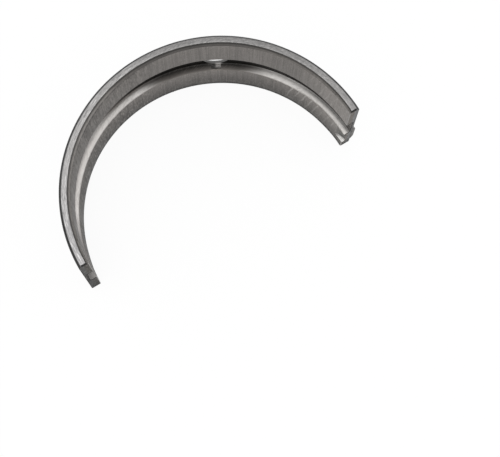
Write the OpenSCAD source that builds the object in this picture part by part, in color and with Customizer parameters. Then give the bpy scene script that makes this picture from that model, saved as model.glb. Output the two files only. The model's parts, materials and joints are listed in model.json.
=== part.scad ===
// Grooved half of a crankshaft bearing: a plated steel strip with a bearing lining, bent half round.
// Z is the journal axis and the origin is its midpoint. The crown points to +Y and the two joint
// faces look to -Y. The shell lies on one of its side faces, with the locating tang low at the +X end.

/* [Shell] */
// Diameter over the back, which is the bore of the housing
outer_d = 60; // [50:0.5:80]
// Wall from the back to the bore
wall = 2.1; // [1.8:0.05:3]
// Width along the journal axis
shell_w = 20.6; // [18:0.1:30]
// Chamfer on the two edges of the back
back_chamfer = 0.5; // [0.2:0.05:0.8]
// Chamfer on the upper edge of the bore
bore_chamfer = 0.55; // [0.2:0.05:0.8]
// Chamfer on the lower edge of the bore, which is only broken
lower_bore_chamfer = 0.15; // [0.1:0.05:0.8]

/* [Joint faces] */
// Chamfer where a joint face meets a side face
joint_chamfer = 0.3; // [0.1:0.05:0.8]
// Chamfer where a joint face meets the bore, measured along the bore
lead_length = 0.4; // [0.2:0.05:1]
// The same chamfer, measured across the joint face
lead_depth = 0.2; // [0.15:0.05:1.2]
// Depth by which the bore eases away from the journal at a joint face
relief_depth = 0.1; // [0.05:0.01:0.2]
// Distance from a joint face at which that relief starts
relief_length = 6; // [4:0.5:10]

/* [Oil groove] */
// Width of the groove at the bore
groove_w = 5.6; // [3:0.1:7]
// Depth of the groove below the bore
groove_depth = 1.45; // [0.8:0.05:1.5]
// Radius in the corners of the groove's floor
groove_fillet = 0.3; // [0.2:0.05:0.7]
// Distance by which each of the groove's walls leans out from the floor to the bore
groove_lean = 0.2; // [0.1:0.05:0.4]

/* [Oil hole] */
// Diameter of the hole
hole_d = 5.1; // [3:0.1:8]
// Angle of the hole from the crown, towards the tang
hole_angle = 28; // [0:1:60]
// Chamfer round the hole on the back
hole_chamfer = 0.3; // [0.1:0.05:0.5]
// Diameter of the counterbore that clears burrs from the groove and bites into both of its walls
bite_d = 5.5; // [3:0.1:8]
// Height over the groove's floor at which the counterbore ends
bite_end = 0.3; // [0.2:0.05:0.8]

/* [Locating tang] */
// Width of the tang along the journal axis, where it leaves the back
tang_w = 6.4; // [4:0.1:7]
// Height of the tang over the back, at the joint face
tang_h = 0.7; // [0.4:0.05:1.4]
// Distance from the joint face at which the tang dies into the back
tang_length = 5; // [3:0.1:8]
// Corner radius of the tang's outline
tang_round = 2.4; // [0.5:0.1:3]
// Distance from the lower side face to the tang
tang_edge = 2.3; // [1.8:0.1:3]
// Width of the recess that the press leaves behind the tang, at the bore
recess_w = 4.6; // [3:0.1:4.8]
// Distance by which the recess lies lower than the middle of the tang
recess_drop = 0.5; // [0.4:0.1:0.8]
// Depth of the recess below the bore, at the joint face
recess_depth = 0.75; // [0.5:0.05:1.2]
// Distance from the joint face at which the recess runs out
recess_length = 2.2; // [1.5:0.1:4]
// Corner radius of the recess
recess_round = 0.25; // [0.2:0.05:1.4]

/* [Hidden] */
$fn = 96;
// Distance by which a cutting shape runs past the face that it cuts
over = 1;
// Share of its length by which a pressed ramp runs on past the surface that it dies into
run_on = 0.25;

outer_r = outer_d / 2;
bore_r = outer_r - wall;
half_w = shell_w / 2;
tang_z = tang_edge + tang_w / 2 - half_w;
// Radius and centre of the relief's arc, which meets the bore at relief_length and lies relief_depth
// outside it at the joint face
relief_r = 1 / (1 / bore_r + 2 * relief_depth / (relief_length * relief_length));
relief_x = bore_r + relief_depth - relief_r;

// Root width of a pressed form that rises h over a surface, is w wide there and has rounded corners
function root_width(w, h, corner) =
    w + 2 * (corner - sqrt(corner * corner - pow(max(0, corner - h), 2)));

// X of a cylinder of radius r, at a distance y from the joint faces
function x_on(r, y) = sqrt(r * r - y * y);

// Point at y on the straight line from [x_face, 0] to [x_far, length]
function ramp_point(x_face, x_far, length, y) = [x_face + (x_far - x_face) * y / length, y];

// Half section of the wall, with its four chamfers
module wall_section() {
    polygon([
        [bore_r + lower_bore_chamfer, -half_w],
        [outer_r - back_chamfer, -half_w],
        [outer_r, -half_w + back_chamfer],
        [outer_r, half_w - back_chamfer],
        [outer_r - back_chamfer, half_w],
        [bore_r + bore_chamfer, half_w],
        [bore_r, half_w - bore_chamfer],
        [bore_r, -half_w + lower_bore_chamfer],
    ]);
}

// Flat strip from x_in to x_tip, w wide about the X axis, with its two far corners rounded
module rounded_strip(x_in, x_tip, w, corner) {
    translate([x_in, -w / 2]) square([x_tip - corner - x_in, w]);
    translate([x_in, corner - w / 2]) square([x_tip - x_in, w - 2 * corner]);
    for (side = [-1, 1])
        translate([x_tip - corner, side * (w / 2 - corner)]) circle(corner);
}

// Form of the press at the tang. It reaches x_tip at the joint face and ramps down to x_far at the
// given length. Its root lies at x_in, its middle at mid_z, and it starts the distance before ahead of
// the joint face.
module pressed_ramp(x_in, x_tip, x_far, length, w, corner, mid_z, before) {
    end_y = length * (1 + run_on);
    intersection() {
        translate([0, end_y, mid_z]) rotate([90, 0, 0])
            linear_extrude(end_y + before) rounded_strip(x_in, x_tip, w, corner);
        translate([0, 0, mid_z - w]) linear_extrude(2 * w)
            polygon([
                [x_in, -before],
                [x_tip, -before],
                [x_tip, 0],
                ramp_point(x_tip, x_far, length, end_y),
                [x_in, end_y],
            ]);
    }
}

module tang() {
    pressed_ramp(outer_r - wall / 2, outer_r + tang_h, x_on(outer_r, tang_length),
        tang_length, root_width(tang_w, tang_h, tang_round), tang_round, tang_z, 0);
}

module tang_recess() {
    pressed_ramp(bore_r - wall, bore_r + recess_depth, x_on(bore_r, recess_length),
        recess_length, root_width(recess_w, recess_depth, recess_round), recess_round,
        tang_z - recess_drop, over);
}

// Ring that cuts the groove along the middle of the bore and out through both joint faces. Its walls
// lean out from the rounded corners of the floor to the bore.
module oil_groove() {
    floor_w = groove_w - 2 * groove_lean;
    lean_x = bore_r + groove_depth - groove_fillet;
    rotate_extrude() {
        rounded_strip(bore_r - over, bore_r + groove_depth, floor_w, groove_fillet);
        polygon([
            [bore_r - over, -groove_w / 2],
            [bore_r, -groove_w / 2],
            [lean_x, -floor_w / 2],
            [lean_x, floor_w / 2],
            [bore_r, groove_w / 2],
            [bore_r - over, groove_w / 2],
        ]);
    }
}

// Drill on the hole's radial axis, with its counterbore and the cone that breaks its edge on the back
module oil_hole() {
    rotate([0, 90, 90 - hole_angle]) {
        translate([0, 0, bore_r - over]) cylinder(d = hole_d, h = wall + 2 * over);
        translate([0, 0, bore_r - over]) cylinder(d = bite_d, h = groove_depth - bite_end + over);
        translate([0, 0, outer_r - hole_chamfer])
            cylinder(d1 = hole_d, d2 = hole_d + 2 * (hole_chamfer + over), h = hole_chamfer + over);
    }
}

// Prism that breaks the edge between the joint faces and the upper side face, at both ends
module joint_edge_cut() {
    reach = outer_r + tang_h + over;
    translate([-reach, 0, 0]) rotate([90, 0, 90]) linear_extrude(2 * reach)
        polygon([
            [-over, half_w - joint_chamfer - over],
            [joint_chamfer + over, half_w + over],
            [-over, half_w + over],
        ]);
}

// Easing of the bore at the +X joint face: its lead-in chamfer and the shallow relief behind it
module joint_easing() {
    lead_x = bore_r + lead_depth;
    lead_far = x_on(bore_r, lead_length);
    translate([0, 0, -half_w - over]) linear_extrude(shell_w + 2 * over)
        polygon([
            ramp_point(lead_x, lead_far, lead_length, -over),
            ramp_point(lead_x, lead_far, lead_length, lead_length + over),
            [bore_r - wall, lead_length + over],
            [bore_r - wall, -over],
        ]);
    translate([relief_x, 0, -half_w - over]) cylinder(r = relief_r, h = shell_w + 2 * over);
}

module bearing_shell() {
    color([0.55, 0.54, 0.53])
    difference() {
        union() {
            rotate_extrude(angle = 180) wall_section();
            tang();
        }
        oil_groove();
        tang_recess();
        oil_hole();
        for (flip = [0, 1]) {
            mirror([0, 0, flip]) joint_edge_cut();
            mirror([flip, 0, 0]) joint_easing();
        }
    }
}

bearing_shell();
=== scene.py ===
"""Looks of a grooved half bearing shell that lies on its side face.

The shell is a plated steel strip with a bearing lining, bent half round. It is modelled here once more
at the frame's sizes, with soft edges and a finish of its own on every surface. Many finishes also carry
painted light and shade: tones that follow the bend and stand for the lights' reflections and for shade.
"""

import json
import logging
import math
from collections.abc import Callable, Iterator
from contextlib import contextmanager
from dataclasses import dataclass, field
from enum import Enum
from typing import Any

import bpy
from bpy.types import Material, Node, NodeSocket, NodeTree, Object
from mathutils import Euler, Matrix, Vector

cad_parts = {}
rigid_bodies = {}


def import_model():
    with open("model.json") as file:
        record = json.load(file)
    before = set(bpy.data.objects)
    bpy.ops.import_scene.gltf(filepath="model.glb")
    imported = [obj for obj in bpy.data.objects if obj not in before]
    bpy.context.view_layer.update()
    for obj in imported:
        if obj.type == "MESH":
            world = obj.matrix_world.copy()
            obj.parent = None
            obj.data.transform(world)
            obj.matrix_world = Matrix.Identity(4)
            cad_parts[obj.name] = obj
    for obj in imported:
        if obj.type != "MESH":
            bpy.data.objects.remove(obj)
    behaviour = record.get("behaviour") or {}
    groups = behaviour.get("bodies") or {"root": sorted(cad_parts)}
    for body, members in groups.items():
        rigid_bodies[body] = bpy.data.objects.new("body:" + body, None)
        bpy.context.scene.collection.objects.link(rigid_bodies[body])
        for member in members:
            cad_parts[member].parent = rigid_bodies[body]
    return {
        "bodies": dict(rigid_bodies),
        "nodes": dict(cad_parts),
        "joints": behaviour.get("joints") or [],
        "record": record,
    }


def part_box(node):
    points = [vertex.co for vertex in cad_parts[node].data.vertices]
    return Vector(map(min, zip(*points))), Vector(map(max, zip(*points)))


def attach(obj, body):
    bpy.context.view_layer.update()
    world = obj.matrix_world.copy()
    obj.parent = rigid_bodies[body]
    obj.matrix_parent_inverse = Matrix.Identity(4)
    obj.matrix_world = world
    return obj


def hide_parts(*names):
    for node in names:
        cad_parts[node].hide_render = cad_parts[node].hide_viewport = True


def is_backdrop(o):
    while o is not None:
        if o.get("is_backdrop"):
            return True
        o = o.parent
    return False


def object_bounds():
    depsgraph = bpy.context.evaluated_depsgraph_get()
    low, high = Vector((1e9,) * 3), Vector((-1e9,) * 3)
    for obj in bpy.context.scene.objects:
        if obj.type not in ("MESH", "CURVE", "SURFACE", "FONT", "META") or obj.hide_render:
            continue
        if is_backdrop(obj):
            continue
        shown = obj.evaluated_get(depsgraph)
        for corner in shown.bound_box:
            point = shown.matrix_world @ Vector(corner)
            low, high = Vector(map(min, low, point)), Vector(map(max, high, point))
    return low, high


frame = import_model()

MM = 0.001
NODE = "bearing_shell"
PIECE = "dressed_bearing_shell"
ORIGIN = (0.0, 0.0, 0.0)
# Distance in millimetres under which two places count as one
CLOSE = 1e-4
# Limits that sort the faces: a distance in millimetres, and cosines of angles between directions
SLACK = 0.02
FLAT = 0.95
STEEP = 0.5
GENTLE = 0.15
# Blender's value for a bevel that follows an arc
ROUND_PROFILE = 0.5
Colour = tuple[float, float, float]
Span = tuple[float, float]
PlaceTest = Callable[[Vector], bool]

log = logging.getLogger(PIECE)


class Region(Enum):
    """Surfaces of the shell that have a finish of their own."""

    SIDE = "side_face"
    LAND = "bore_land"
    GROOVE_WALL = "groove_wall"
    GROOVE_FLOOR = "groove_floor"
    HOLE = "oil_hole"
    BACK = "back"
    JOINT = "joint_face"
    EDGE = "outer_edge"
    BORE_EDGE = "bore_edge"
    TANG = "tang"
    RECESS = "recess_floor"
    RECESS_WALL = "recess_wall"
    LEAD = "lead_in"


class Cut(Enum):
    """What a tool does to the shell."""

    TAKE = "DIFFERENCE"
    JOIN = "UNION"


def select_only(piece: Object) -> None:
    """Makes one object the selected and active one.

    Args:
        piece: Object that the next operators act on.
    """
    bpy.ops.object.select_all(action="DESELECT")
    piece.select_set(True)
    bpy.context.view_layer.objects.active = piece


@contextmanager
def editing(piece: Object, keep: PlaceTest | None = None) -> Iterator[None]:
    """Opens edit mode on an object, with some of its vertices selected.

    Args:
        piece: Object to edit.
        keep: Test of a vertex's place. The vertices that pass it are selected, or all without a test.

    Yields:
        Nothing. Edit mode is left at the end.
    """
    select_only(piece)
    bpy.ops.object.mode_set(mode="EDIT")
    bpy.ops.mesh.select_mode(type="VERT")
    bpy.ops.mesh.select_all(action="SELECT" if keep is None else "DESELECT")
    if keep is not None:
        bpy.ops.object.mode_set(mode="OBJECT")
        for vertex in piece.data.vertices:
            vertex.select = keep(vertex.co)
        bpy.ops.object.mode_set(mode="EDIT")
    yield
    bpy.ops.object.mode_set(mode="OBJECT")


def settle(piece: Object) -> None:
    """Puts an object's place, turn and scale into its mesh.

    Args:
        piece: Object to settle.
    """
    select_only(piece)
    bpy.ops.object.transform_apply(location=True, rotation=True, scale=True)


def tidy_mesh(piece: Object) -> None:
    """Merges doubled vertices and turns every face outwards.

    Args:
        piece: Closed mesh object.
    """
    with editing(piece):
        bpy.ops.mesh.remove_doubles(threshold=CLOSE)
        bpy.ops.mesh.normals_make_consistent(inside=False)


def flat_section(low_x: float, high_x: float, width: float, y: float = 0.0, z: float = 0.0) -> Object:
    """Adds a flat oblong face in the XZ plane.

    Args:
        low_x: X of its left side.
        high_x: X of its right side.
        width: Its width along Z.
        y: Y of its plane.
        z: Z of its middle.

    Returns:
        The new object.
    """
    bpy.ops.object.select_all(action="DESELECT")
    middle = ((low_x + high_x) / 2, y, z)
    bpy.ops.mesh.primitive_plane_add(size=1.0, rotation=(math.pi / 2, 0.0, 0.0), location=middle)
    piece = bpy.context.object
    piece.scale = (high_x - low_x, width, 1.0)
    settle(piece)
    return piece


def round_corners(piece: Object, keep: PlaceTest, size: float, steps: int) -> None:
    """Cuts or rounds corners of a flat section.

    Args:
        piece: The flat section.
        keep: Test that picks the corners.
        size: Length that is taken from both sides of a corner.
        steps: One for a chamfer, more for an arc.
    """
    with editing(piece, keep):
        bpy.ops.mesh.bevel(
            offset=size, segments=steps, profile=ROUND_PROFILE, affect="VERTICES", clamp_overlap=False
        )


def use_tool(piece: Object, tool: Object, cut: Cut) -> None:
    """Cuts a tool out of an object or joins it to the object, and removes the tool.

    Args:
        piece: Object that is worked on.
        tool: Closed mesh object.
        cut: Whether the tool is taken away or joined.
    """
    select_only(piece)
    boolean = piece.modifiers.new("tool", "BOOLEAN")
    boolean.object = tool
    boolean.operation = cut.value
    boolean.solver = "EXACT"
    bpy.ops.object.modifier_apply(modifier=boolean.name)
    bpy.data.objects.remove(tool)


@dataclass
class Strip:
    """Half-round strip with a groove along the middle of its bore. Sizes are in millimetres.

    The strip is made longer than half a circle, by spare_degrees at each end, and its ends are cut to the
    joint plane later. The groove's walls lean out by groove_lean from the floor to the bore, and the
    strip's long edges are rounded by edge_break.
    """

    outer_radius: float
    bore_radius: float
    width: float
    groove_width: float = 5.6
    groove_lean: float = 0.2
    groove_depth: float = 1.45
    groove_fillet: float = 0.3
    fillet_steps: int = 6
    back_chamfer: float = 0.5
    bore_chamfer: float = 0.55
    lower_bore_chamfer: float = 0.15
    edge_break: float = 0.06
    edge_steps: int = 3
    spare_degrees: float = 2.0
    turn_steps: int = 184

    @property
    def wall(self) -> float:
        """Thickness from the bore to the back."""
        return self.outer_radius - self.bore_radius

    @property
    def half_width(self) -> float:
        """Half of the width along the journal axis."""
        return self.width / 2

    @property
    def half_groove(self) -> float:
        """Half of the groove's width at the bore."""
        return self.groove_width / 2

    @property
    def half_floor(self) -> float:
        """Half of the groove's width at its floor."""
        return self.half_groove - self.groove_lean

    @property
    def floor_radius(self) -> float:
        """Radius of the groove's floor."""
        return self.bore_radius + self.groove_depth

    def corner(self, radius: float, *heights: float) -> PlaceTest:
        """Makes a test for the section's vertices at a radius and at one of some heights.

        Args:
            radius: Distance from the journal axis.
            *heights: Distances above the middle of the width.

        Returns:
            Test of a vertex's place.
        """
        return lambda place: (
            abs(place.x - radius) < CLOSE and any(abs(place.z - z) < CLOSE for z in heights)
        )

    def in_groove(self, place: Vector) -> bool:
        """Says whether a point of the section lies in the groove or on its edge."""
        return abs(place.z) < self.half_floor + CLOSE and place.x < self.floor_radius + CLOSE

    def section(self) -> Object:
        """Models the flat section of the wall, with its groove, chamfers and soft edges.

        Returns:
            Object with one flat face in the XZ plane.
        """
        piece = flat_section(self.bore_radius, self.outer_radius, self.width)
        piece.name = PIECE
        piece.data.name = PIECE
        floor, half = self.half_floor, self.half_width
        bore, outer = self.bore_radius, self.outer_radius
        for side in (-1, 1):
            with editing(piece):
                bpy.ops.mesh.bisect(plane_co=(0.0, 0.0, side * floor), plane_no=(0.0, 0.0, 1.0))
        with editing(piece, lambda place: abs(place.z) < floor + CLOSE):
            bpy.ops.mesh.bisect(plane_co=(self.floor_radius, 0.0, 0.0), plane_no=(1.0, 0.0, 0.0))
        with editing(piece, self.in_groove):
            bpy.ops.mesh.delete(type="FACE")
        with editing(piece):
            bpy.ops.mesh.dissolve_faces()
        with editing(piece, self.corner(outer, -floor, floor)):
            bpy.ops.mesh.dissolve_verts()
        floor_corners = self.corner(self.floor_radius, -floor, floor)
        round_corners(piece, floor_corners, self.groove_fillet, self.fillet_steps)
        for side in (-1, 1):
            with editing(piece, self.corner(bore, side * floor)):
                bpy.ops.transform.translate(value=(0.0, 0.0, side * self.groove_lean))
        round_corners(piece, self.corner(outer, -half, half), self.back_chamfer, 1)
        round_corners(piece, self.corner(bore, half), self.bore_chamfer, 1)
        round_corners(piece, self.corner(bore, -half), self.lower_bore_chamfer, 1)
        upper, lower = half - self.bore_chamfer, self.lower_bore_chamfer - half
        convex = (
            self.corner(bore, -self.half_groove, self.half_groove, upper, lower),
            self.corner(bore + self.bore_chamfer, half),
            self.corner(bore + self.lower_bore_chamfer, -half),
            self.corner(outer - self.back_chamfer, -half, half),
            self.corner(outer, self.back_chamfer - half, half - self.back_chamfer),
        )
        round_corners(
            piece, lambda place: any(test(place) for test in convex), self.edge_break, self.edge_steps
        )
        return piece

    def build(self) -> Object:
        """Spins the section round the journal axis, a little past both joint planes.

        Returns:
            Closed mesh object, in millimetres.
        """
        piece = self.section()
        piece.rotation_euler = (0.0, 0.0, -math.radians(self.spare_degrees))
        settle(piece)
        sweep = math.radians(180.0 + 2 * self.spare_degrees)
        with editing(piece):
            bpy.ops.mesh.spin(steps=self.turn_steps, angle=sweep, center=ORIGIN, axis=(0.0, 0.0, -1.0))
        tidy_mesh(piece)
        return piece


@dataclass
class OilHole:
    """Radial hole that feeds the groove, with a counterbore there and a broken edge on the back.

    Sizes are in millimetres. The counterbore, of bite_radius, bites into the groove's walls and ends at
    the height bite_end over its floor. A tool starts or ends the distance over past the surface it cuts.
    """

    radius: float
    direction: Vector
    chamfer: float = 0.3
    bite_radius: float = 2.75
    bite_end: float = 0.3
    over: float = 1.0
    sides: int = 96

    @property
    def turn(self) -> Euler:
        """Turn of a tool that works along the hole."""
        return self.direction.to_track_quat("Z", "Y").to_euler()

    def bore(self, piece: Object, radius: float, start: float, end: float) -> None:
        """Cuts a round hole between two distances from the journal axis.

        Args:
            piece: The shell.
            radius: Radius of the cut.
            start: Distance at which it starts.
            end: Distance at which it ends.
        """
        middle = self.direction * (start + end) / 2
        bpy.ops.mesh.primitive_cylinder_add(
            vertices=self.sides, radius=radius, depth=end - start, location=middle, rotation=self.turn
        )
        use_tool(piece, bpy.context.object, Cut.TAKE)

    def drill(self, piece: Object, strip: Strip) -> None:
        """Cuts the hole, its counterbore and the cone at its mouth.

        Args:
            piece: The shell.
            strip: Sizes of the strip that is drilled.
        """
        start = strip.bore_radius - self.over
        self.bore(piece, self.radius, start, strip.outer_radius + self.over)
        self.bore(piece, self.bite_radius, start, strip.floor_radius - self.bite_end)
        cone_height = self.chamfer + self.over
        mouth = self.direction * (strip.outer_radius - self.chamfer + cone_height / 2)
        bpy.ops.mesh.primitive_cone_add(
            vertices=self.sides,
            radius1=self.radius,
            radius2=self.radius + cone_height,
            depth=cone_height,
            location=mouth,
            rotation=self.turn,
        )
        use_tool(piece, bpy.context.object, Cut.TAKE)

    def holds(self, place: Vector, normal: Vector, strip: Strip) -> bool:
        """Says whether a face lies on the hole's wall, on the counterbore's ledge or on the chamfer.

        Args:
            place: Middle of the face.
            normal: The face's direction.
            strip: Sizes of the strip that is drilled.

        Returns:
            True for a face of the hole.
        """
        along = place.dot(self.direction)
        if along < 0 or (place - self.direction * along).length > self.radius + self.chamfer:
            return False
        ledge = abs(along - strip.floor_radius + self.bite_end) < SLACK
        return ledge or abs(normal.dot(self.direction)) < FLAT


@dataclass
class LocatingTang:
    """Lip that is pressed out of the back at the +X end, with the recess behind it.

    Sizes are in millimetres. The tang's bar starts the depth root below the back, and its lower side lies
    the distance edge over the lower side face. Each pressed form starts the distance before ahead of the
    joint plane, and its ramp runs on past its end by the share run_on of its length.
    """

    height: float
    width: float = 6.4
    length: float = 5.0
    corner: float = 2.4
    edge: float = 2.3
    recess_width: float = 4.6
    recess_drop: float = 0.5
    recess_depth: float = 0.75
    recess_length: float = 2.2
    recess_corner: float = 0.25
    root: float = 0.72
    run_on: float = 0.25
    before: float = 1.0
    corner_steps: int = 12

    def middle(self, strip: Strip) -> float:
        """Height of the tang's middle over the middle of the shell's width."""
        return self.edge + self.width / 2 - strip.half_width

    def form(
        self,
        root: float,
        surface: float,
        rise: float,
        length: float,
        width: float,
        corner: float,
        z: float,
    ) -> Object:
        """Models the form of the press: a bar with two rounded edges, cut off by a ramp.

        Args:
            root: X of the bar's root.
            surface: Radius of the surface that the bar rises over.
            rise: Height over that surface at the joint plane.
            length: Distance from the joint plane at which the ramp has come down to the surface.
            width: Width of the bar where it leaves the surface.
            corner: Radius of the bar's rounded edges.
            z: Height of the bar's middle.

        Returns:
            Closed mesh object.
        """
        tip = surface + rise
        cut_in = corner - math.sqrt(corner**2 - max(0.0, corner - rise) ** 2)
        bar = flat_section(root, tip, width + 2 * cut_in, -self.before, z)
        round_corners(bar, lambda place: place.x > tip - CLOSE, corner, self.corner_steps)
        reach = Vector((0.0, self.before + length * (1 + self.run_on), 0.0))
        with editing(bar):
            bpy.ops.mesh.extrude_region_move(TRANSFORM_OT_translate={"value": reach})
        far = math.sqrt(surface**2 - length**2)
        slope = Vector((length, tip - far, 0.0)).normalized()
        with editing(bar):
            bpy.ops.mesh.bisect(plane_co=(tip, 0.0, 0.0), plane_no=slope, use_fill=True, clear_outer=True)
        tidy_mesh(bar)
        return bar

    def press(self, piece: Object, strip: Strip) -> None:
        """Joins the tang to the back and cuts its recess into the bore.

        Args:
            piece: The shell.
            strip: Sizes of the strip that is pressed.
        """
        z = self.middle(strip)
        outer, bore = strip.outer_radius, strip.bore_radius
        tang = self.form(
            root=outer - self.root,
            surface=outer,
            rise=self.height,
            length=self.length,
            width=self.width,
            corner=self.corner,
            z=z,
        )
        use_tool(piece, tang, Cut.JOIN)
        recess = self.form(
            root=bore - strip.wall,
            surface=bore,
            rise=self.recess_depth,
            length=self.recess_length,
            width=self.recess_width,
            corner=self.recess_corner,
            z=z - self.recess_drop,
        )
        use_tool(piece, recess, Cut.TAKE)


@dataclass
class JointEnds:
    """Cut ends of the strip, with their chamfers and the easing of the bore. Sizes are in millimetres."""

    chamfer: float = 0.3
    lead_length: float = 0.4
    lead_depth: float = 0.2
    relief_depth: float = 0.1
    relief_length: float = 6.0

    def relieve(self, piece: Object, strip: Strip) -> None:
        """Eases the bore outwards next to both joint planes, along an arc that meets the bore.

        Args:
            piece: The shell.
            strip: Sizes of the strip.
        """
        bore = strip.bore_radius
        radius = 1 / (1 / bore + 2 * self.relief_depth / self.relief_length**2)
        centre = bore + self.relief_depth - radius
        for vertex in piece.data.vertices:
            place = vertex.co
            if place.y < self.relief_length:
                reach = centre + math.sqrt(radius**2 - place.y**2)
                place.x = math.copysign(max(abs(place.x), reach), place.x)

    def cut(self, piece: Object, strip: Strip) -> None:
        """Cuts the strip to the joint plane and chamfers its ends.

        Args:
            piece: The shell.
            strip: Sizes of the strip.
        """
        cuts = [(ORIGIN, Vector((0.0, -1.0, 0.0)))]
        for side in (-1, 1):
            edge = (0.0, 0.0, side * (strip.half_width - self.chamfer))
            cuts.append((edge, Vector((0.0, -1.0, side)).normalized()))
        for place, normal in cuts:
            with editing(piece):
                bpy.ops.mesh.bisect(plane_co=place, plane_no=normal, use_fill=True, clear_outer=True)
        lead = strip.bore_radius + self.lead_depth
        far = math.sqrt(strip.bore_radius**2 - self.lead_length**2)
        for end in (-1, 1):
            normal = Vector((-end * self.lead_length, far - lead, 0.0)).normalized()
            with editing(piece, lambda place: place.x * end > 0 and place.y < self.relief_length):
                bpy.ops.mesh.bisect(
                    plane_co=(end * lead, 0.0, 0.0), plane_no=normal, use_fill=True, clear_outer=True
                )


class NodeSheet:
    """Adds and joins the nodes of one material, world or node group."""

    def __init__(self, tree: NodeTree) -> None:
        """Takes a node tree and empties it."""
        self.tree = tree
        tree.nodes.clear()

    def add(self, kind: str, **settings: Any) -> Node:
        """Adds one node.

        Args:
            kind: Blender's name of the node's type.
            **settings: Properties of the node.

        Returns:
            The new node.
        """
        node = self.tree.nodes.new(kind)
        for name, value in settings.items():
            setattr(node, name, value)
        return node

    def feed(self, socket: NodeSocket, value: Any) -> None:
        """Links a socket to another one, or sets its plain value.

        Args:
            socket: Input socket.
            value: Output socket, number, colour or vector.
        """
        if isinstance(value, NodeSocket):
            self.tree.links.new(value, socket)
        else:
            socket.default_value = value

    def math(self, operation: str, *values: Any) -> NodeSocket:
        """Adds a math node.

        Args:
            operation: Name of the operation.
            *values: Its inputs.

        Returns:
            The result.
        """
        node = self.add("ShaderNodeMath", operation=operation)
        for socket, value in zip(node.inputs, values):
            self.feed(socket, value)
        return node.outputs[0]

    def remap(
        self, value: Any, low: float, high: float, to_low: float = 0.0, to_high: float = 1.0
    ) -> NodeSocket:
        """Maps a range of values smoothly onto another one.

        Args:
            value: Value to map.
            low: Start of its range.
            high: End of its range.
            to_low: Result at the start.
            to_high: Result at the end.

        Returns:
            The mapped value.
        """
        node = self.add("ShaderNodeMapRange", interpolation_type="SMOOTHSTEP")
        ends = {"From Min": low, "From Max": high, "To Min": to_low, "To Max": to_high}
        for name, number in ends.items():
            node.inputs[name].default_value = number
        self.feed(node.inputs["Value"], value)
        return node.outputs["Result"]

    def blend(self, share: Any, first: Any, second: Any) -> NodeSocket:
        """Mixes two colours.

        Args:
            share: Share of the second colour.
            first: First colour.
            second: Second colour.

        Returns:
            The mixed colour.
        """
        node = self.add("ShaderNodeMix", data_type="RGBA")
        self.feed(node.inputs["Factor"], share)
        self.feed(node.inputs["A"], first)
        self.feed(node.inputs["B"], second)
        return node.outputs["Result"]

    def vector(self, x: Any, y: Any, z: Any) -> NodeSocket:
        """Joins three values to a vector.

        Args:
            x: First value.
            y: Second value.
            z: Third value.

        Returns:
            The vector.
        """
        node = self.add("ShaderNodeCombineXYZ")
        for socket, value in zip(node.inputs, (x, y, z)):
            self.feed(socket, value)
        return node.outputs[0]

    def noise(self, place: Any, detail: float, roughness: float = 0.55) -> NodeSocket:
        """Adds a noise of unit scale.

        Args:
            place: Vector that the noise is read at.
            detail: Number of finer layers.
            roughness: Strength of the finer layers.

        Returns:
            Values around one half.
        """
        node = self.add("ShaderNodeTexNoise")
        self.feed(node.inputs["Vector"], place)
        node.inputs["Scale"].default_value = 1.0
        node.inputs["Detail"].default_value = detail
        node.inputs["Roughness"].default_value = roughness
        return node.outputs["Fac"]


def new_group(name: str, inputs: dict[str, str], outputs: dict[str, str]) -> tuple[NodeSheet, Any, Any]:
    """Starts a shader node group.

    Args:
        name: Name of the group.
        inputs: Names of the inputs and their socket types.
        outputs: Names of the outputs and their socket types.

    Returns:
        The group's sheet, the sockets that bring its inputs in, and those that take its outputs.
    """
    tree = bpy.data.node_groups.new(name, "ShaderNodeTree")
    sheet = NodeSheet(tree)
    for side, sockets in (("INPUT", inputs), ("OUTPUT", outputs)):
        for socket, kind in sockets.items():
            tree.interface.new_socket(name=socket, in_out=side, socket_type=kind)
    return sheet, sheet.add("NodeGroupInput").outputs, sheet.add("NodeGroupOutput").inputs


class Coordinate(Enum):
    """Coordinates of the shell, named as their sockets. Lengths are in millimetres."""

    RADIUS = "Radius"
    ALONG = "Along"
    HEIGHT = "Height"
    DEGREES = "Degrees"


FLOAT = "NodeSocketFloat"
VECTOR = "NodeSocketVector"


def round_coordinates() -> NodeTree:
    """Builds the group that turns a place into the shell's own coordinates.

    They are the radius, the length along the bend, the height and the angle from the tang's end.

    Returns:
        The node group.
    """
    outputs = {coordinate.value: FLOAT for coordinate in Coordinate}
    sheet, given, result = new_group("round_coordinates", {"Place": VECTOR}, outputs)
    scaled = sheet.add("ShaderNodeVectorMath", operation="SCALE")
    sheet.feed(scaled.inputs[0], given["Place"])
    scaled.inputs["Scale"].default_value = 1 / MM
    parts = sheet.add("ShaderNodeSeparateXYZ")
    sheet.feed(parts.inputs[0], scaled.outputs[0])
    x, y, z = parts.outputs
    squares = [sheet.math("MULTIPLY", side, side) for side in (x, y)]
    radius = sheet.math("SQRT", sheet.math("ADD", *squares))
    # Rounding gives y either sign on the joint faces, so the angle is taken from its size alone
    angle = sheet.math("ARCTAN2", sheet.math("ABSOLUTE", y), x)
    values = {
        Coordinate.RADIUS: radius,
        Coordinate.ALONG: sheet.math("MULTIPLY", angle, radius),
        Coordinate.HEIGHT: z,
        Coordinate.DEGREES: sheet.math("DEGREES", angle),
    }
    for coordinate, value in values.items():
        sheet.feed(result[coordinate.value], value)
    return sheet.tree


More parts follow.
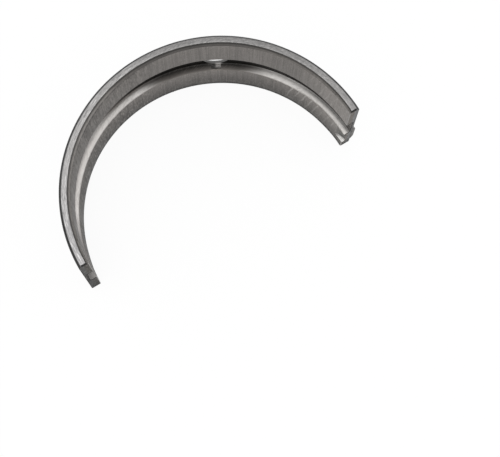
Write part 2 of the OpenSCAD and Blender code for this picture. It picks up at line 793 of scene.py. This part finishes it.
def tool_marks() -> NodeTree:
    """Builds the group of lines that a cutting tool leaves: fine ones, with wider ones under them.

    Returns:
        The node group.
    """
    fine_share, wide_share, wide_scale = 0.6, 0.4, 0.23
    fine_seed, wide_seed = 3.7, 11.3
    contrast = (0.3, 0.7)
    inputs = {"Across": FLOAT, "Along": FLOAT, "Lines per mm": FLOAT, "Break per mm": FLOAT}
    sheet, given, result = new_group("tool_marks", inputs, {"Lines": FLOAT})
    across = sheet.math("MULTIPLY", given["Across"], given["Lines per mm"])
    along = sheet.math("MULTIPLY", given["Along"], given["Break per mm"])
    fine = sheet.noise(sheet.vector(across, along, fine_seed), detail=2.0)
    wider = sheet.math("MULTIPLY", across, wide_scale)
    wide = sheet.noise(sheet.vector(wider, along, wide_seed), detail=2.0)
    fine_part = sheet.math("MULTIPLY", fine, fine_share)
    both = sheet.math("ADD", fine_part, sheet.math("MULTIPLY", wide, wide_share))
    sheet.feed(result["Lines"], sheet.remap(both, *contrast))
    return sheet.tree


def mottle() -> NodeTree:
    """Builds the group of soft patches, as handling and plating leave on bare metal.

    Returns:
        The node group.
    """
    seed, contrast = 7.1, (0.32, 0.68)
    inputs = {"Across": FLOAT, "Along": FLOAT, "Patches per mm": FLOAT, "Stretch": FLOAT}
    sheet, given, result = new_group("mottle", inputs, {"Patches": FLOAT})
    across = sheet.math("MULTIPLY", given["Across"], given["Patches per mm"])
    along = sheet.math("MULTIPLY", given["Along"], given["Patches per mm"])
    stretched = sheet.math("DIVIDE", along, given["Stretch"])
    patches = sheet.noise(sheet.vector(across, stretched, seed), detail=4.0, roughness=0.6)
    sheet.feed(result["Patches"], sheet.remap(patches, *contrast))
    return sheet.tree


@dataclass(frozen=True)
class Effects:
    """Node groups that the finishes share."""

    coordinates: NodeTree = field(default_factory=round_coordinates)
    marks: NodeTree = field(default_factory=tool_marks)
    mottle: NodeTree = field(default_factory=mottle)


class Direction(Enum):
    """How marks lie on a surface: the coordinate across them and the one along them."""

    ROUND = (Coordinate.HEIGHT, Coordinate.ALONG)
    AXIAL = (Coordinate.ALONG, Coordinate.HEIGHT)
    RADIAL_FACE = (Coordinate.RADIUS, Coordinate.ALONG)
    JOINT = (Coordinate.RADIUS, Coordinate.HEIGHT)


class SurfaceSheet(NodeSheet):
    """Sheet of a finish, with the shell's own coordinates at hand."""

    def __init__(self, tree: NodeTree, effects: Effects) -> None:
        """Empties a tree and adds the node that works out the coordinates.

        Args:
            tree: Node tree of the finish's material.
            effects: The shared node groups.
        """
        super().__init__(tree)
        self.effects = effects
        self.spot = self.add("ShaderNodeGroup", node_tree=effects.coordinates)
        self.feed(self.spot.inputs["Place"], self.add("ShaderNodeTexCoord").outputs["Object"])

    def place(self, coordinate: Coordinate) -> NodeSocket:
        """Gives the socket of one coordinate."""
        return self.spot.outputs[coordinate.value]

    def speckle(self, direction: Direction, per_mm: Span, seed: float, detail: float) -> NodeSocket:
        """Adds a noise that lies on the surface in a direction.

        Args:
            direction: How the noise lies.
            per_mm: Its scale across and along the direction.
            seed: Place in the noise at which it is read.
            detail: Number of finer layers.

        Returns:
            Values around one half.
        """
        scaled = [
            self.math("MULTIPLY", self.place(coordinate), scale)
            for coordinate, scale in zip(direction.value, per_mm)
        ]
        return self.noise(self.vector(*scaled, seed), detail)


@dataclass(frozen=True)
class Limit:
    """Stretch of one coordinate. It comes in over the span rise and goes out over the span fall."""

    coordinate: Coordinate
    rise: Span | None = None
    fall: Span | None = None

    @classmethod
    def angle(cls, rise: Span | None = None, fall: Span | None = None) -> "Limit":
        """Limits the angle round the bend, in degrees from the tang's end."""
        return cls(Coordinate.DEGREES, rise, fall)

    @classmethod
    def radius(cls, rise: Span | None = None, fall: Span | None = None) -> "Limit":
        """Limits the distance from the journal axis, in millimetres."""
        return cls(Coordinate.RADIUS, rise, fall)

    @classmethod
    def height(cls, rise: Span | None = None, fall: Span | None = None) -> "Limit":
        """Limits the height over the middle of the width, in millimetres."""
        return cls(Coordinate.HEIGHT, rise, fall)

    def mask(self, sheet: SurfaceSheet, share: Any) -> Any:
        """Narrows a share to the stretch.

        Args:
            sheet: Sheet of the finish.
            share: Share so far.

        Returns:
            The share, which fades to nought outside the stretch.
        """
        place = sheet.place(self.coordinate)
        if self.rise:
            share = sheet.math("MULTIPLY", sheet.remap(place, *self.rise), share)
        if self.fall:
            share = sheet.math("MULTIPLY", sheet.remap(place, *self.fall, 1.0, 0.0), share)
        return share


@dataclass(frozen=True, kw_only=True)
class Tint:
    """Another colour on a surface, or on a part of it between some limits."""

    colour: Colour
    limits: tuple[Limit, ...] = ()
    share: float = 1.0

    def strength(self, sheet: SurfaceSheet) -> Any:
        """Works out how strong the colour is before the limits narrow it.

        Args:
            sheet: Sheet of the finish.

        Returns:
            Number or socket, from 0 to 1.
        """
        return self.share

    def apply(self, sheet: SurfaceSheet, under: Any) -> NodeSocket:
        """Mixes the tint into the colour of a surface.

        Args:
            sheet: Sheet of the finish.
            under: Colour so far.

        Returns:
            The new colour.
        """
        mask = self.strength(sheet)
        for limit in self.limits:
            mask = limit.mask(sheet, mask)
        return sheet.blend(mask, under, (*self.colour, 1.0))


def band(colour: Colour, *limits: Limit, share: float = 1.0) -> Tint:
    """Makes an even tint between some limits.

    Args:
        colour: Its colour.
        *limits: Its limits.
        share: Its strength.

    Returns:
        The tint.
    """
    return Tint(colour=colour, limits=limits, share=share)


# Places in the noise at which the layers of grain are read, so that they differ
GRAIN_SEEDS = (2.3, 8.9, 14.1, 19.7)


@dataclass(frozen=True, kw_only=True)
class Grain(Tint):
    """Fine grains or streaks of another colour, so many per millimetre across and along a direction.

    They come in over the span cover of the noise that scatters them.
    """

    direction: Direction
    per_mm: Span
    cover: Span = (0.5, 0.68)
    layer: int = 0

    def strength(self, sheet: SurfaceSheet) -> NodeSocket:
        """Scatters the grains.

        Args:
            sheet: Sheet of the finish.

        Returns:
            The grains' strength.
        """
        grains = sheet.speckle(self.direction, self.per_mm, GRAIN_SEEDS[self.layer], detail=2.0)
        return sheet.math("MULTIPLY", sheet.remap(grains, *self.cover), self.share)


def grain(
    colour: Colour, direction: Direction, per_mm: Span, *limits: Limit, share: float, layer: int = 0
) -> Grain:
    """Makes a layer of grain.

    Args:
        colour: Colour of the grains.
        direction: How they lie on the surface.
        per_mm: How many there are on a millimetre, across and along.
        *limits: Limits of the part that has them.
        share: Their strength.
        layer: Which layer of the finish it is.

    Returns:
        The grain.
    """
    return Grain(
        colour=colour, limits=limits, share=share, direction=direction, per_mm=per_mm, layer=layer
    )


@dataclass(frozen=True, kw_only=True)
class Chatter(Tint):
    """Faint slanted lines at an even pitch, as a broach leaves them. Lengths are in millimetres.

    The lines are the span sharp of a wave. They wander by a noise, and fade over its span fade.
    """

    pitch: float = 1.58
    slant: float = 0.2
    sharp: Span = (0.72, 1.0)
    wander_per_mm: Span = (0.4, 0.3)
    fade: Span = (0.3, 0.6)
    seed: float = 5.3

    def strength(self, sheet: SurfaceSheet) -> NodeSocket:
        """Draws the lines, which wander a little and fade in places.

        Args:
            sheet: Sheet of the finish.

        Returns:
            The lines' strength.
        """
        wander = sheet.speckle(Direction.AXIAL, self.wander_per_mm, self.seed, detail=3.0)
        lean = sheet.math("MULTIPLY", sheet.place(Coordinate.HEIGHT), self.slant)
        slanted = sheet.math("ADD", sheet.place(Coordinate.ALONG), lean)
        travel = sheet.math("ADD", slanted, wander)
        wave = sheet.math("COSINE", sheet.math("MULTIPLY", travel, math.tau / self.pitch))
        line = sheet.math("MULTIPLY", sheet.remap(wave, *self.sharp), sheet.remap(wander, *self.fade))
        return sheet.math("MULTIPLY", line, self.share)


@dataclass(frozen=True)
class Finish:
    """One metal finish: two tones in patches, with tool marks in tone, gloss and height.

    The share line_tone of the change of tone comes from the tool marks and the rest from the patches. The
    value edge is the brightness of the sheen at a flat angle, and specular the strength of the reflection
    where the finish isn't metallic.
    """

    name: str
    dark: Colour
    light: Colour
    direction: Direction
    tints: tuple[Tint, ...] = ()
    roughness: float = 0.35
    roughness_swing: float = 0.08
    metallic: float = 1.0
    specular: float = 0.5
    edge: float = 1.0
    lines_per_mm: float = 5.0
    break_per_mm: float = 0.06
    line_tone: float = 0.5
    line_height_mm: float = 0.003
    patches_per_mm: float = 0.5
    patch_stretch: float = 2.0

    def pattern(self, sheet: SurfaceSheet) -> tuple[NodeSocket, NodeSocket]:
        """Lays the tool marks and the patches over the surface.

        Args:
            sheet: Sheet of the finish.

        Returns:
            The tool marks, and the tone that marks and patches give together.
        """
        across, along = self.direction.value
        marks = sheet.add("ShaderNodeGroup", node_tree=sheet.effects.marks)
        patches = sheet.add("ShaderNodeGroup", node_tree=sheet.effects.mottle)
        for group in (marks, patches):
            sheet.feed(group.inputs["Across"], sheet.place(across))
            sheet.feed(group.inputs["Along"], sheet.place(along))
        marks.inputs["Lines per mm"].default_value = self.lines_per_mm
        marks.inputs["Break per mm"].default_value = self.break_per_mm
        patches.inputs["Patches per mm"].default_value = self.patches_per_mm
        patches.inputs["Stretch"].default_value = self.patch_stretch
        lines = marks.outputs["Lines"]
        line_part = sheet.math("MULTIPLY", lines, self.line_tone)
        patch_part = sheet.math("MULTIPLY", patches.outputs["Patches"], 1 - self.line_tone)
        return lines, sheet.math("ADD", line_part, patch_part)

    def material(self, effects: Effects) -> Material:
        """Builds the finish as a material.

        Args:
            effects: The shared node groups.

        Returns:
            The material.
        """
        made = bpy.data.materials.new(self.name)
        made.use_nodes = True
        sheet = SurfaceSheet(made.node_tree, effects)
        lines, tone = self.pattern(sheet)
        colour = sheet.blend(tone, (*self.dark, 1.0), (*self.light, 1.0))
        for tint in self.tints:
            colour = tint.apply(sheet, colour)
        swing = self.roughness_swing
        rough = sheet.remap(tone, 0.0, 1.0, self.roughness + swing, self.roughness - swing)
        bump = sheet.add("ShaderNodeBump")
        bump.inputs["Distance"].default_value = self.line_height_mm * MM
        sheet.feed(bump.inputs["Height"], lines)
        shader = sheet.add("ShaderNodeBsdfPrincipled")
        sheet.feed(shader.inputs["Base Color"], colour)
        sheet.feed(shader.inputs["Roughness"], rough)
        sheet.feed(shader.inputs["Normal"], bump.outputs[0])
        shader.inputs["Metallic"].default_value = self.metallic
        shader.inputs["Specular IOR Level"].default_value = self.specular
        shader.inputs["Specular Tint"].default_value = (self.edge, self.edge, self.edge, 1.0)
        output = sheet.add("ShaderNodeOutputMaterial")
        sheet.feed(output.inputs["Surface"], shader.outputs[0])
        return made


# Colours that more than one tint uses. LAND_SHADE, RIM_SHADE and JOINT_SHADE are painted shade.
LINING = (0.176, 0.160, 0.147)
LAND_SHADE = (0.05, 0.048, 0.046)
RIM_SHADE = (0.03, 0.029, 0.028)
JOINT_SHADE = (0.015, 0.015, 0.014)

# Parts of the shell, by angle from the tang's end, by radius and by height
UPPER_HALF = Limit.height(rise=(-1.0, 1.0))
LOWER_HALF = Limit.height(fall=(-1.0, 1.0))
# Stretch round the crown where shade is painted into the groove
CROWN_SHADE_SECTOR = Limit.angle(rise=(38.5, 55.0), fall=(80.5, 97.5))
# Stretch of the painted highlight on the oil hole's lower wall
HOLE_GLINT = Limit.angle(rise=(59.2, 60.6), fall=(61.4, 62.8))
TANG_STRETCH = Limit.angle(fall=(18.0, 34.0))
REST_OF_BEND = Limit.angle(rise=(18.0, 34.0))
PAST_CROWN = Limit.angle(rise=(80.0, 92.0), fall=(106.0, 118.0))
PLAIN_HALF = Limit.angle(rise=(80.0, 100.0))
LOWER_PLAIN_HALF = (PLAIN_HALF, LOWER_HALF)
# Place of the painted shadow where the groove meets the joint face
NOTCH_SHADOW = (Limit.radius(fall=(29.5, 29.75)), Limit.height(rise=(-3.5, -2.9), fall=(2.8, 3.3)))

# Finishes of the surfaces. Many of their tints are painted light and shade that follow the angle round the
# bend, the radius and the height.
FINISHES: dict[Region, Finish] = {
    Region.SIDE: Finish(
        "faced_steel", (0.182, 0.179, 0.177), (0.322, 0.314, 0.310), Direction.RADIAL_FACE,
        tints=(
            # Painted reflection of the lights: lighter near the tang's end and over the left half, darker
            # and bluer near the left end.
            band((0.45, 0.44, 0.435), Limit.angle(fall=(0.0, 40.0)), share=0.3),
            band((0.43, 0.42, 0.415), Limit.angle(rise=(78.0, 112.0)), share=0.55),
            band((0.24, 0.238, 0.250), Limit.angle(rise=(148.0, 166.0)), share=0.4),
            grain((0.66, 0.65, 0.64), Direction.RADIAL_FACE, (6.0, 1.8), share=0.24),
            grain((0.09, 0.089, 0.089), Direction.RADIAL_FACE, (6.0, 1.8), share=0.24, layer=1),
            grain(
                (0.06, 0.059, 0.059), Direction.RADIAL_FACE, (8.0, 0.5), PLAIN_HALF, share=0.45, layer=2
            ),
            grain((0.85, 0.84, 0.83), Direction.RADIAL_FACE, (8.0, 0.5), PLAIN_HALF, share=0.4, layer=3),
        ),
        roughness=0.34, patches_per_mm=1.6, patch_stretch=1.5, line_tone=0.3,
    ),
    Region.LAND: Finish(
        "bored_lining", (0.188, 0.178, 0.169), (0.250, 0.231, 0.217), Direction.AXIAL,
        tints=(
            Chatter(
                colour=(0.52, 0.50, 0.475),
                limits=(LOWER_HALF, Limit.angle(fall=(28.0, 46.0))),
                share=0.75,
            ),
            Chatter(
                colour=(0.50, 0.48, 0.455),
                limits=(UPPER_HALF, Limit.angle(fall=(12.0, 30.0))),
                share=0.6,
            ),
            # Painted light and shade: lighter near the tang's end, darker over the left half and towards
            # the bottom, with dark lines of painted shade along the lower rim and under the upper chamfer
            # on the left half.
            band((0.39, 0.366, 0.345), Limit.angle(fall=(2.0, 34.0)), share=0.6),
            band((0.12, 0.115, 0.110), Limit.angle(rise=(84.0, 130.0)), share=0.4),
            band(LAND_SHADE, LOWER_HALF, Limit.angle(rise=(115.0, 140.0)), share=0.2),
            band(LAND_SHADE, Limit.height(fall=(-9.0, -2.5)), share=0.62),
            band(RIM_SHADE, Limit.height(fall=(-9.8, -8.6)), share=0.9),
            band(LAND_SHADE, Limit.height(rise=(9.0, 9.3)), PLAIN_HALF, share=0.6),
            grain((0.38, 0.36, 0.34), Direction.AXIAL, (5.5, 1.6), share=0.3),
            grain((0.075, 0.071, 0.068), Direction.AXIAL, (5.5, 1.6), share=0.3, layer=1),
            grain((0.45, 0.425, 0.40), Direction.AXIAL, (3.5, 0.5), PLAIN_HALF, share=0.35, layer=2),
            grain((0.04, 0.039, 0.038), Direction.AXIAL, (3.5, 0.5), PLAIN_HALF, share=0.4, layer=3),
        ),
        roughness=0.45, metallic=0.9, edge=0.6, lines_per_mm=6.0, patches_per_mm=0.25, line_tone=0.8,
    ),
    # The pale base tones are partly the wall's own bright metal and partly painted light, for the lower
    # wall where it catches the lights. Several tints below paint shade on it.
    Region.GROOVE_WALL: Finish(
        "milled_groove", (0.86, 0.832, 0.805), (0.95, 0.92, 0.895), Direction.ROUND,
        tints=(
            # Painted shade, darker near the tang's end.
            band((0.63, 0.61, 0.585), Limit.angle(fall=(30.0, 60.0)), share=0.4),
            grain((0.45, 0.43, 0.41), Direction.RADIAL_FACE, (3.0, 1.6), share=0.35),
            # Painted shade deep in the groove, growing darker towards its floor.
            band((0.12, 0.117, 0.113), TANG_STRETCH, Limit.radius(rise=(28.4, 29.2)), share=0.85),
            band((0.10, 0.097, 0.094), REST_OF_BEND, Limit.radius(rise=(28.4, 29.55)), share=0.75),
            band((0.07, 0.054, 0.042), PAST_CROWN, Limit.radius(rise=(28.7, 29.4)), share=0.8),
            # Painted shade: round the crown, on both sides of the oil hole, the groove goes to the
            # lining's tone and then almost black towards its floor.
            band(LINING, CROWN_SHADE_SECTOR),
            band((0.084, 0.076, 0.069), CROWN_SHADE_SECTOR, Limit.radius(rise=(27.85, 28.45))),
            band((0.020, 0.018, 0.016), CROWN_SHADE_SECTOR, Limit.radius(rise=(28.35, 29.2))),
            grain(
                (0.16, 0.145, 0.13), Direction.RADIAL_FACE, (1.0, 3.5), CROWN_SHADE_SECTOR, share=0.3, layer=1
            ),
            # Painted shade towards the left end.
            band((0.18, 0.172, 0.165), Limit.angle(rise=(150.0, 170.0)), share=0.8),
            band(LINING, TANG_STRETCH, Limit.radius(fall=(27.85, 28.28))),
            band(LINING, REST_OF_BEND, Limit.radius(fall=(27.8, 28.12))),
        ),
        roughness=0.45, metallic=0.1, specular=0.25,
    ),
    # Painted shadow: the nearly black tones stand for the shade under the groove's upper edge. The floor
    # is lighter near the tang's end and has a painted highlight along the left stretch.
    Region.GROOVE_FLOOR: Finish(
        "groove_floor", (0.016, 0.015, 0.014), (0.034, 0.032, 0.030), Direction.ROUND,
        tints=(
            band((0.20, 0.19, 0.18), Limit.angle(fall=(2.0, 32.0)), share=0.7),
            band((0.60, 0.585, 0.565), Limit.angle(rise=(94.0, 130.0), fall=(148.0, 178.0))),
        ),
        roughness=0.5,
    ),
    # Painted shade inside the oil hole: dark wall tones, lighter towards the back, and a painted highlight
    # on the lower wall within HOLE_GLINT.
    Region.HOLE: Finish(
        "drilled_wall", (0.055, 0.052, 0.050), (0.085, 0.081, 0.078), Direction.AXIAL,
        tints=(
            band((0.13, 0.128, 0.125), Limit.radius(rise=(29.25, 29.4))),
            band((0.32, 0.308, 0.297), HOLE_GLINT, Limit.radius(rise=(28.25, 28.75), fall=(29.25, 29.5))),
            band(LINING, Limit.radius(fall=(28.0, 28.3))),
        ),
        roughness=0.35,
    ),
    Region.BACK: Finish(
        "plated_back", (0.34, 0.34, 0.345), (0.48, 0.48, 0.48), Direction.ROUND, roughness=0.4,
    ),
    # The dark base tones are partly the cut steel's own tone and partly painted shade, as the joint faces
    # turn away from the lights.
    Region.JOINT: Finish(
        "cut_joint", (0.110, 0.099, 0.089), (0.180, 0.165, 0.150), Direction.JOINT,
        tints=(
            band((0.165, 0.168, 0.171), Limit.radius(rise=(28.95, 29.15)), share=0.85),
            band((0.140, 0.135, 0.130), Limit.radius(rise=(29.95, 30.05)), share=0.8),
            # Painted shade: darker over the left end's face and towards the bottom, with a dark line along
            # the back's edge and a painted shadow at the groove's notch.
            band((0.020, 0.020, 0.017), PLAIN_HALF, share=0.6),
            band((0.012, 0.012, 0.011), *LOWER_PLAIN_HALF, share=0.3),
            band(JOINT_SHADE, Limit.height(fall=(-9.8, -6.0)), share=0.7),
            band(JOINT_SHADE, Limit.radius(rise=(29.6, 29.95), fall=(29.98, 30.05)), share=0.5),
            band((0.004, 0.004, 0.004), *NOTCH_SHADOW, share=0.9),
            grain((0.30, 0.29, 0.28), Direction.JOINT, (2.4, 1.3), share=0.2),
            grain((0.03, 0.03, 0.03), Direction.JOINT, (2.4, 1.3), share=0.4, layer=1),
            grain((0.20, 0.195, 0.19), Direction.JOINT, (1.8, 0.9), *LOWER_PLAIN_HALF, share=0.3, layer=2),
            grain((0.02, 0.02, 0.02), Direction.JOINT, (1.8, 0.9), *LOWER_PLAIN_HALF, share=0.5, layer=3),
        ),
        roughness=0.5, metallic=0.08, specular=0.03,
        patches_per_mm=3.0, patch_stretch=1.3, line_tone=0.25,
    ),
    Region.LEAD: Finish(
        "lead_in", (0.22, 0.212, 0.204), (0.30, 0.29, 0.28), Direction.AXIAL,
        roughness=0.45, metallic=0.9,
    ),
    # Painted shade: the dark tones stand for the dark reflections on the outer chamfer, and the pale line
    # near its inner edge is a painted highlight.
    Region.EDGE: Finish(
        "turned_chamfer", (0.030, 0.030, 0.030), (0.058, 0.057, 0.056), Direction.ROUND,
        tints=(
            band((0.26, 0.258, 0.256), Limit.radius(rise=(29.42, 29.5), fall=(29.5, 29.62)), share=0.8),
        ),
        roughness=0.45,
    ),
    Region.BORE_EDGE: Finish(
        "bore_chamfer", (0.140, 0.131, 0.122), (0.215, 0.201, 0.188), Direction.ROUND,
        tints=(
            # Painted light and shade: dark round the crown, lighter near the tang's end and over the left
            # half, with painted shade along the top edge and over the lower chamfer.
            band((0.06, 0.058, 0.056), Limit.angle(rise=(30.0, 55.0), fall=(85.0, 110.0)), share=0.6),
            band((0.24, 0.228, 0.215), Limit.angle(fall=(15.0, 40.0)), share=0.4),
            band((0.33, 0.315, 0.30), Limit.angle(rise=(95.0, 125.0)), share=0.6),
            band((0.04, 0.039, 0.038), Limit.height(rise=(9.93, 10.16)), share=0.75),
            band(RIM_SHADE, LOWER_HALF, share=0.8),
            grain((0.06, 0.058, 0.056), Direction.RADIAL_FACE, (4.0, 2.0), share=0.35),
        ),
        roughness=0.42,
    ),
    Region.TANG: Finish(
        "pressed_tang", (0.30, 0.30, 0.30), (0.43, 0.43, 0.43), Direction.ROUND, roughness=0.38,
    ),
    # Painted light and shade: the dark tones stand for the shade on the recess's floor, and its pale lower
    # part is painted light, for the lit wall beside it.
    Region.RECESS: Finish(
        "pressed_floor", (0.075, 0.073, 0.070), (0.12, 0.116, 0.111), Direction.ROUND,
        tints=(
            band((0.16, 0.15, 0.14), Limit.radius(fall=(27.98, 28.3)), share=0.85),
            band((0.60, 0.59, 0.575), Limit.height(fall=(-6.9, -6.3)), Limit.radius(rise=(27.98, 28.3))),
        ),
        roughness=0.5, metallic=0.0, specular=0.1,
    ),
    # The pale base tones are partly the pressed steel's own tone and partly painted light, for a wall that
    # faces up to the lights.
    Region.RECESS_WALL: Finish(
        "pressed_wall", (0.74, 0.73, 0.715), (0.88, 0.87, 0.855), Direction.ROUND,
        roughness=0.4, metallic=0.2,
    ),
}


@dataclass
class BearingShell:
    """The whole shell: a grooved strip with an oil hole, a locating tang and two eased ends."""

    strip: Strip
    hole: OilHole
    tang: LocatingTang
    ends: JointEnds = field(default_factory=JointEnds)
    smooth_degrees: float = 28.0

    @classmethod
    def from_frame(cls, packed: dict[str, Any]) -> "BearingShell":
        """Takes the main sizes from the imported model.

        Args:
            packed: The loaded frame.

        Returns:
            The shell, not yet built.
        """
        low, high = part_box(NODE)
        mounts = {mount["name"]: mount for mount in packed["record"]["mounts"]}
        outer = -low.x / MM
        strip = Strip(
            outer_radius=outer,
            bore_radius=mounts["journal_bore"]["dims"]["r_mm"],
            width=(high.z - low.z) / MM,
        )
        drilling = mounts["oil_hole"]
        hole = OilHole(radius=drilling["dims"]["r_mm"], direction=Vector(drilling["axis"]).normalized())
        return cls(strip, hole, LocatingTang(height=high.x / MM - outer))

    def build(self) -> Object:
        """Models the shell in millimetres and puts it in the frame in metres.

        Returns:
            The finished mesh object, not yet dressed.
        """
        piece = self.strip.build()
        self.tang.press(piece, self.strip)
        self.ends.relieve(piece, self.strip)
        self.hole.drill(piece, self.strip)
        self.ends.cut(piece, self.strip)
        tidy_mesh(piece)
        piece.scale = (MM, MM, MM)
        settle(piece)
        bpy.ops.object.shade_smooth_by_angle(angle=math.radians(self.smooth_degrees))
        return piece

    def region(self, place: Vector, normal: Vector) -> Region:
        """Says which surface of the shell a face belongs to.

        Args:
            place: Middle of the face, in millimetres.
            normal: The face's direction.

        Returns:
            The surface.
        """
        strip, tang = self.strip, self.tang
        outward = Vector((place.x, place.y, 0.0)).normalized()
        radius = Vector((place.x, place.y)).length
        radial = normal.dot(outward)
        if abs(normal.z) > FLAT and abs(place.z) > strip.half_width - SLACK:
            return Region.SIDE
        if normal.y < -FLAT and place.y < SLACK:
            return Region.JOINT
        if self.hole.holds(place, normal, strip):
            return Region.HOLE
        rise = abs(place.z - tang.middle(strip) + tang.recess_drop)
        if place.x > 0 and place.y < tang.length and radius > strip.outer_radius + SLACK:
            return Region.TANG
        if place.x > 0 and self.in_recess(place.y, rise, radius) and radial < STEEP:
            return Region.RECESS_WALL if normal.z > GENTLE else Region.RECESS
        upright = abs(normal.z) < 1 - FLAT
        if place.y < self.ends.lead_length and upright and radial < 0 and normal.y < -STEEP / 2:
            return Region.LEAD
        if abs(place.z) < strip.half_groove + strip.edge_break and -FLAT < radial < STEEP:
            return Region.GROOVE_WALL
        if abs(place.z) < strip.half_groove and radial < STEEP:
            return Region.GROOVE_FLOOR
        if radial < -FLAT:
            return Region.LAND
        if radial > FLAT:
            return Region.BACK
        return Region.BORE_EDGE if radial < -SLACK else Region.EDGE

    def in_recess(self, distance: float, rise: float, radius: float) -> bool:
        """Says whether a place lies in the recess behind the tang.

        Args:
            distance: Distance from the joint plane.
            rise: Distance from the recess's middle along the axis.
            radius: Distance from the axis.

        Returns:
            True in the recess.
        """
        tang, strip = self.tang, self.strip
        wide = rise < tang.recess_width / 2 + SLACK
        deep = radius > strip.bore_radius + self.ends.relief_depth + SLACK
        return wide and deep and distance < tang.recess_length and radius < strip.outer_radius - SLACK

    def dress(self, piece: Object) -> None:
        """Gives every face the finish of its surface.

        Args:
            piece: The built shell.
        """
        effects = Effects()
        regions = list(FINISHES)
        for region in regions:
            piece.data.materials.append(FINISHES[region].material(effects))
        for face in piece.data.polygons:
            face.material_index = regions.index(self.region(face.center / MM, face.normal))
        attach(piece, "root")
        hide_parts(NODE)
        log.info("%s: %d faces", piece.name, len(piece.data.polygons))


@dataclass
class Studio:
    """White floor, soft light from above and the camera.

    Lengths are in metres unless their names say otherwise.
    """

    floor_height: float
    floor_size: float = 6.0
    floor_tone: float = 0.94
    shadow_share: float = 0.07
    softbox_place: tuple[float, float, float] = (-0.15, 0.0, 0.9)
    softbox_size: float = 0.5
    softbox_watts: float = 1.2
    clip_start: float = 0.01
    lens_mm: float = 80.39
    camera_mm: tuple[float, float, float] = (-26.301, -47.542, 208.595)
    azimuth_degrees: float = -35.004
    elevation_degrees: float = 76.785
    roll_degrees: float = 4.2235
    background: tuple[float, float, float, float] = (1.0, 1.0, 1.0, 1.0)

    def seen_directly(self, sheet: NodeSheet) -> NodeSocket:
        """Adds the test for rays that show the background: seen, mirrored or let through.

        Args:
            sheet: Sheet of the floor's material.

        Returns:
            One for such a ray, and otherwise nought.
        """
        path = sheet.add("ShaderNodeLightPath").outputs
        mirrored = sheet.math("MAXIMUM", path["Is Glossy Ray"], path["Is Transmission Ray"])
        return sheet.math("MAXIMUM", path["Is Camera Ray"], mirrored)

    def lay_floor(self) -> None:
        """Lays the floor, which looks white and still takes the shell's shadow."""
        bpy.ops.object.select_all(action="DESELECT")
        bpy.ops.mesh.primitive_plane_add(size=self.floor_size, location=(0.0, 0.0, self.floor_height))
        floor = bpy.context.object
        floor.name = "floor"
        settle(floor)
        paper = bpy.data.materials.new("white_paper")
        paper.use_nodes = True
        sheet = NodeSheet(paper.node_tree)
        matt = sheet.add("ShaderNodeBsdfDiffuse")
        matt.inputs["Color"].default_value = (self.floor_tone,) * 3 + (1.0,)
        glow = sheet.add("ShaderNodeEmission")
        glow.inputs["Color"].default_value = self.background
        mix = sheet.add("ShaderNodeMixShader")
        share = sheet.math("MULTIPLY", self.seen_directly(sheet), 1 - self.shadow_share)
        sheet.feed(mix.inputs[0], share)
        sheet.feed(mix.inputs[1], matt.outputs[0])
        sheet.feed(mix.inputs[2], glow.outputs[0])
        sheet.feed(sheet.add("ShaderNodeOutputMaterial").inputs["Surface"], mix.outputs[0])
        floor.data.materials.append(paper)
        floor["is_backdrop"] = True

    def light_room(self) -> None:
        """Makes the sky: plain white, which is both background and light."""
        room = bpy.data.worlds.new("white_room")
        bpy.context.scene.world = room
        room.use_nodes = True
        sheet = NodeSheet(room.node_tree)
        sky = sheet.add("ShaderNodeBackground")
        sky.inputs["Color"].default_value = self.background
        sheet.feed(sheet.add("ShaderNodeOutputWorld").inputs["Surface"], sky.outputs[0])

    def hang_softbox(self) -> None:
        """Hangs the square softbox, which looks at the origin."""
        lamp = bpy.data.lights.new("upper_softbox", "AREA")
        lamp.size = self.softbox_size
        lamp.energy = self.softbox_watts
        box = bpy.data.objects.new(lamp.name, lamp)
        box.location = self.softbox_place
        box.rotation_euler = Vector(self.softbox_place).to_track_quat("Z", "Y").to_euler()
        bpy.context.scene.collection.objects.link(box)

    def place_camera(self) -> None:
        """Places the camera that sees the shell from above its left front."""
        angles = (self.azimuth_degrees, self.elevation_degrees, self.roll_degrees)
        turn, rise, roll = (math.radians(angle) for angle in angles)
        back = Vector((math.sin(turn) * math.cos(rise), -math.cos(turn) * math.cos(rise), math.sin(rise)))
        level = Vector((math.cos(turn), math.sin(turn), 0.0))
        right = level * math.cos(roll) + back.cross(level) * math.sin(roll)
        axes = Matrix((right, back.cross(right), back)).transposed()
        lens = bpy.data.cameras.new("camera")
        lens.lens = self.lens_mm
        lens.sensor_fit = "HORIZONTAL"
        lens.clip_start = self.clip_start
        camera = bpy.data.objects.new("camera", lens)
        camera.location = Vector(self.camera_mm) * MM
        camera.rotation_euler = axes.to_euler()
        bpy.context.scene.collection.objects.link(camera)
        bpy.context.scene.camera = camera

    def build(self) -> None:
        """Sets up floor, light and camera."""
        self.lay_floor()
        self.light_room()
        self.hang_softbox()
        self.place_camera()
        bpy.context.scene.view_settings.view_transform = "Standard"


def main() -> None:
    """Builds the shell and its studio."""
    logging.basicConfig(level=logging.INFO, format="%(name)s: %(message)s")
    cad_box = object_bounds()
    shell = BearingShell.from_frame(frame)
    shell.dress(shell.build())
    Studio(floor_height=cad_box[0].z).build()


if __name__ == "__main__":
    main()
